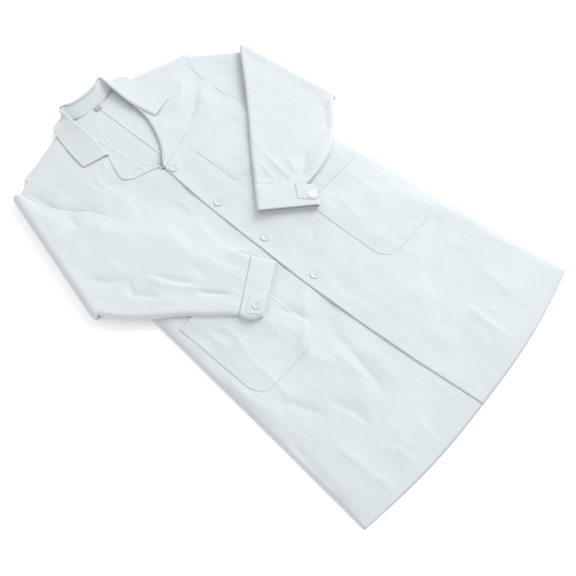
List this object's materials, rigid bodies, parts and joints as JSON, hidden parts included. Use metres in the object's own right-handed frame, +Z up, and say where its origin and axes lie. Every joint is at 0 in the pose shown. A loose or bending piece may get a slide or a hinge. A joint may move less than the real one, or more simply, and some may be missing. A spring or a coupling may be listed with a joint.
{
  "type": "lab coat",
  "caption": "White knee-length buttoned coat with notched lapels, patch pockets and cuffed sleeves, laid on its back with the forearms folded across the front.",
  "frame": {"origin": "on the table, under the centre of the back neck seam", "axes": "+X towards the wearer's left, +Y from the hem towards the collar, +Z up off the table; the coat lies on its back"},
  "size_m": [0.693, 1.0703, 0.033],
  "materials": {
    "coat_cotton": "plain woven white cotton blend, matt",
    "interlining": "stiff fused interlining",
    "button": "pearly off-white plastic",
    "cuff_button": "glossy white plastic",
    "label": "small woven satin label, blank",
    "thread": "white sewing thread"
  },
  "bodies": {
    "root": {"button_thread_shanks": "thread", "centre_back_seam": "coat_cotton", "chest_pocket": "coat_cotton", "chest_pocket_hem": "coat_cotton", "collar_interlining": "interlining", "collar_stand": "coat_cotton", "front_button_1": "button", "front_button_2": "button", "front_button_3": "button", "front_button_4": "button", "left_armhole_seam": "coat_cotton", "left_back_hem": "coat_cotton", "left_back_panel": "coat_cotton", "left_front_facing": "coat_cotton", "left_front_panel": "coat_cotton", "left_hip_pocket": "coat_cotton", "left_hip_pocket_hem": "coat_cotton", "left_lapel": "coat_cotton", "left_shoulder_seam": "coat_cotton", "left_side_seam": "coat_cotton", "left_upper_sleeve_top": "coat_cotton", "left_upper_sleeve_under": "coat_cotton", "neck_label": "label", "right_armhole_seam": "coat_cotton", "right_back_hem": "coat_cotton", "right_back_panel": "coat_cotton", "right_front_facing": "coat_cotton", "right_front_hem": "coat_cotton", "right_front_panel": "coat_cotton", "right_hip_pocket": "coat_cotton", "right_hip_pocket_hem": "coat_cotton", "right_lapel": "coat_cotton", "right_shoulder_seam": "coat_cotton", "right_side_seam": "coat_cotton", "right_upper_sleeve_top": "coat_cotton", "right_upper_sleeve_under": "coat_cotton", "under_collar": "coat_cotton", "upper_collar": "coat_cotton"},
    "right_forearm": {"right_cuff": "coat_cotton", "right_cuff_button": "cuff_button", "right_cuff_interlining": "interlining", "right_cuff_tab": "coat_cotton", "right_forearm_top": "coat_cotton", "right_forearm_under": "coat_cotton"},
    "left_forearm": {"left_cuff": "coat_cotton", "left_cuff_button": "cuff_button", "left_cuff_interlining": "interlining", "left_cuff_tab": "coat_cotton", "left_forearm_top": "coat_cotton", "left_forearm_under": "coat_cotton"},
    "left_corner": {"left_corner_facing": "coat_cotton", "left_front_corner": "coat_cotton", "left_front_hem": "coat_cotton"}
  },
  "joints": [
    {"name": "right_elbow_fold", "type": "hinge", "parent": "root", "child": "right_forearm", "pos_m": [-0.271, -0.06, 0.01275], "axis": [-0.2172, -0.9761, 0], "range_deg": [0, 175]},
    {"name": "left_elbow_fold", "type": "hinge", "parent": "root", "child": "left_forearm", "pos_m": [0.327, -0.124, 0.01425], "axis": [-0.0843, 0.9964, 0], "range_deg": [0, 175]},
    {"name": "left_corner_fold", "type": "hinge", "parent": "root", "child": "left_corner", "pos_m": [-0.037, -0.672, 0.0135], "axis": [-0.7099, 0.7043, 0], "range_deg": [0, 170]}
  ]
}
